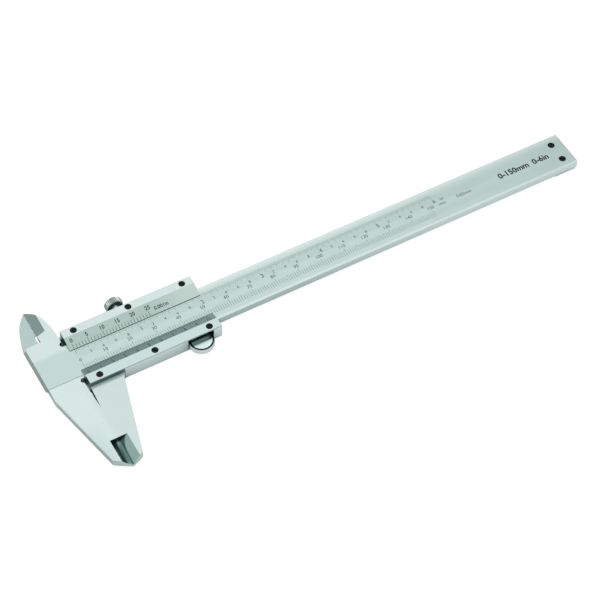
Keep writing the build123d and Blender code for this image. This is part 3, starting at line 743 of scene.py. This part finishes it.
def engrave():
    """Lay every mark on the beam and on the two vernier strips."""
    ink = engraving_ink("engraving_ink", INK)
    dark_ink = engraving_ink("dark_ink", DARK_INK)
    millimetre_scale(ink)
    inch_scale(ink)
    beam_labels(ink, dark_ink)
    inch_vernier(dark_ink)
    millimetre_vernier(ink)


# Stage

def aim(azimuth, elevation):
    """Unit vector towards a bearing, clockwise from +Y seen from above, and a height in degrees."""
    bearing = math.radians(azimuth)
    height = math.radians(elevation)
    flat = math.cos(height)
    return Vector((math.sin(bearing) * flat, math.cos(bearing) * flat, math.sin(height)))


WHITE = (1.0, 1.0, 1.0, 1.0)
SOFTBOX_AIM = aim(30, 77)
SOFTBOX_FULL = math.cos(math.radians(28))
SOFTBOX_EDGE = math.cos(math.radians(44))
SOFTBOX_GLOW = 0.78
ROOM_GLOW = 0.31
ROOM_DARK_SIDE = 0.25
ROOM_COLOUR = (0.74, 1.0, 0.97)
FLOOR_REACH = 3.0
FLOOR_SEEN = 0.93
FLOOR_REFLECTED = 0.55
FLOOR_TINT = (0.86, 1.0, 1.0, 1.0)
FLOOR_GREY = (0.25, 0.25, 0.25, 1.0)

# The camera's turn from +Y about the vertical, its tilt down from the horizontal and its bank, in degrees,
# then its place in metres, and its sensor and lens in millimetres.
CAMERA_TURN, CAMERA_TILT, CAMERA_BANK = -30.989, 53.513, 1.985
CAMERA_PLACE = (-0.129067, -0.373221, 0.569590)
CAMERA_SENSOR = 36.0
CAMERA_LENS = 112.7214


def studio_light():
    """Soft light from a big box overhead and behind, in a room that is darker to the right."""
    world = bpy.data.worlds.new("studio")
    bpy.context.scene.world = world
    world.use_nodes = True
    sky = Nodes(world.node_tree)
    direction = sky.add("ShaderNodeTexCoord").outputs["Generated"]
    turned = sky.add("ShaderNodeVectorMath", {0: direction, 1: SOFTBOX_AIM}, operation="DOT_PRODUCT")
    box = sky.ease(turned.outputs["Value"], SOFTBOX_EDGE, SOFTBOX_FULL, 0.0, SOFTBOX_GLOW)
    to_the_right = sky.add("ShaderNodeSeparateXYZ", {0: direction}).outputs["X"]
    room = sky.ease(to_the_right, 0.4, 0.8, ROOM_GLOW, ROOM_DARK_SIDE * ROOM_GLOW)
    channels = [sky.maths("ADD", box, sky.maths("MULTIPLY", room, share)) for share in ROOM_COLOUR]
    colour = sky.blend(sky.seen(), sky.combine(channels), WHITE)
    sky.feed(sky.tree.nodes["Background"].inputs["Color"], colour)


def studio_floor():
    """Plain white table, lit from within so that it stays even, with only a trace of shadow."""
    mesh = bpy.data.meshes.new("floor")
    corners = [(x * FLOOR_REACH, y * FLOOR_REACH, 0) for x, y in ((-1, -1), (1, -1), (1, 1), (-1, 1))]
    mesh.from_pydata(corners, [], [(0, 1, 2, 3)])
    floor = bpy.data.objects.new("floor", mesh)
    bpy.context.scene.collection.objects.link(floor)
    s = Shader("floor")
    seen = s.seen()
    # In reflections the floor glows dimmer and gets painted shade near the caliper.
    reflected = s.maths("MULTIPLY", s.crevice(12 * MM, 0.05, 0.8), FLOOR_REFLECTED)
    s.feed(s.surface.inputs["Emission Strength"], s.blend(seen, reflected, FLOOR_SEEN))
    s.feed(s.surface.inputs["Emission Color"], s.blend(seen, FLOOR_TINT, WHITE))
    s.feed(s.surface.inputs["Specular IOR Level"], 0.0)
    smooth = s.bump(s.noise((300, 300, 300)), 0.0)
    mesh.materials.append(s.finish(FLOOR_GREY, 1.0, smooth, 0.0))


def photographer():
    """Camera at the product shot's angle: from the lower left, about 54 degrees above the table."""
    data = bpy.data.cameras.new("camera")
    data.sensor_width = CAMERA_SENSOR
    data.lens = CAMERA_LENS
    data.clip_start = 0.01
    data.clip_end = 100.0
    camera = bpy.data.objects.new("camera", data)
    bpy.context.scene.collection.objects.link(camera)
    turn = Matrix.Rotation(math.radians(CAMERA_TURN), 4, "Z")
    tilt = Matrix.Rotation(math.radians(90 - CAMERA_TILT), 4, "X")
    bank = Matrix.Rotation(math.radians(CAMERA_BANK), 4, "Z")
    camera.matrix_world = Matrix.Translation(Vector(CAMERA_PLACE)) @ turn @ tilt @ bank
    bpy.context.scene.camera = camera
    bpy.context.scene.view_settings.view_transform = "Standard"


paint_frame()
engrave()
studio_light()
studio_floor()
photographer()
